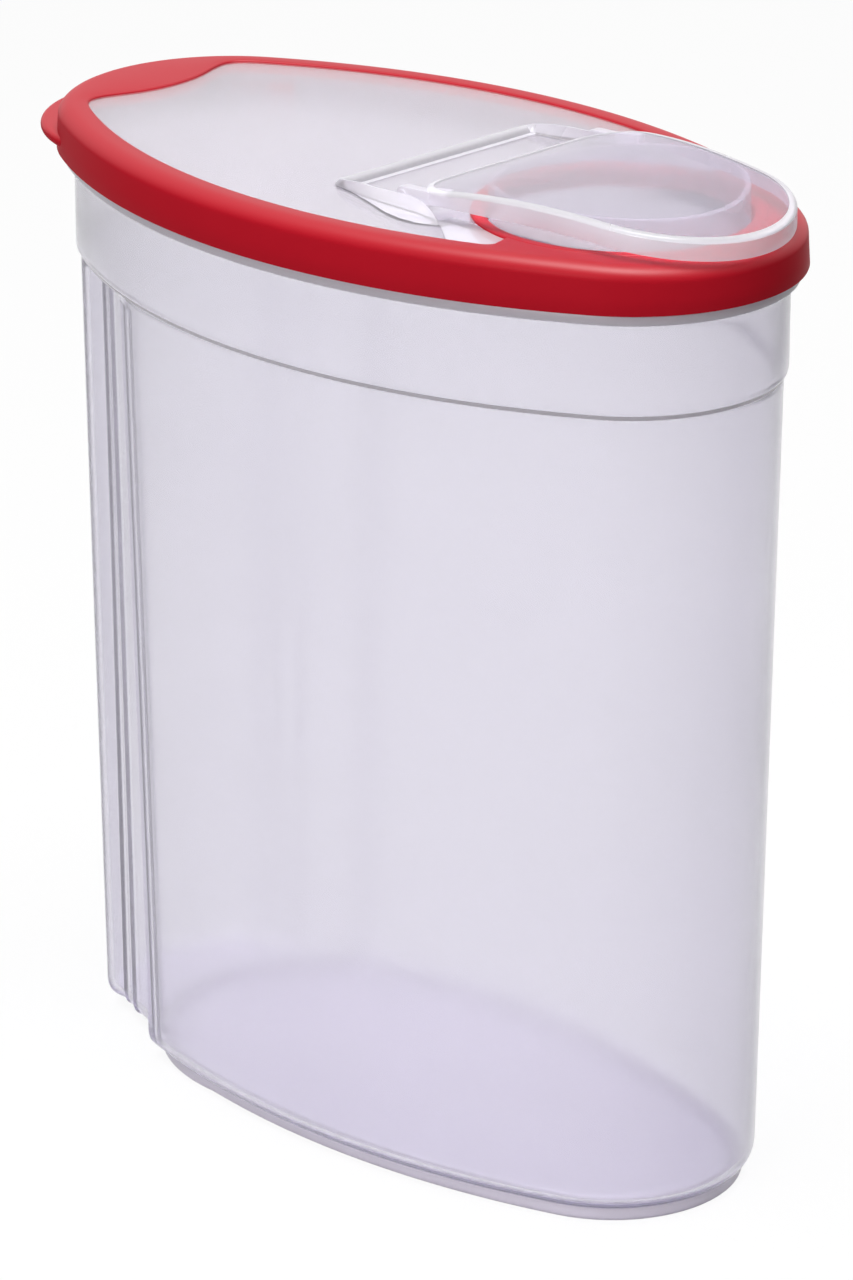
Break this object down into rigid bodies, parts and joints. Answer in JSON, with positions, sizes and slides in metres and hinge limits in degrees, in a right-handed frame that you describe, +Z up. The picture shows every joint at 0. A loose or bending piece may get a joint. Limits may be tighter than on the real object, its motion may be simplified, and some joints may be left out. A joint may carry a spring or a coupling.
{
  "type": "cereal container with flip spout",
  "caption": "Oval dry food container of clear plastic with a red-rimmed lift-off lid and a hinged pouring cap.",
  "frame": {"origin": "on the floor, under the middle of the whole object's outline", "axes": "+Z up, +X towards the pouring spout, +Y to the left of the spout"},
  "size_m": [0.2617, 0.14, 0.291],
  "materials": {
    "clear_plastic": "clear, slightly milky moulded polypropylene",
    "clear_lid_plastic": "clear, faintly grey moulded plastic with polished faces",
    "red_rim": "satin red moulded plastic"
  },
  "bodies": {
    "tub": {"container": "clear_plastic"},
    "lid": {"lid_panel": "clear_lid_plastic", "lid_rim": "red_rim"},
    "cap": {"spout_cap": "clear_lid_plastic"}
  },
  "joints": [
    {"name": "lid_lift", "type": "slide", "parent": "tub", "child": "lid", "axis": [0, 0, 1], "range_m": [0, 0.05]},
    {"name": "cap_flip", "type": "hinge", "parent": "lid", "child": "cap", "pos_m": [0.03585, 0, 0.285], "axis": [0, -1, 0], "range_deg": [0, 160]}
  ]
}
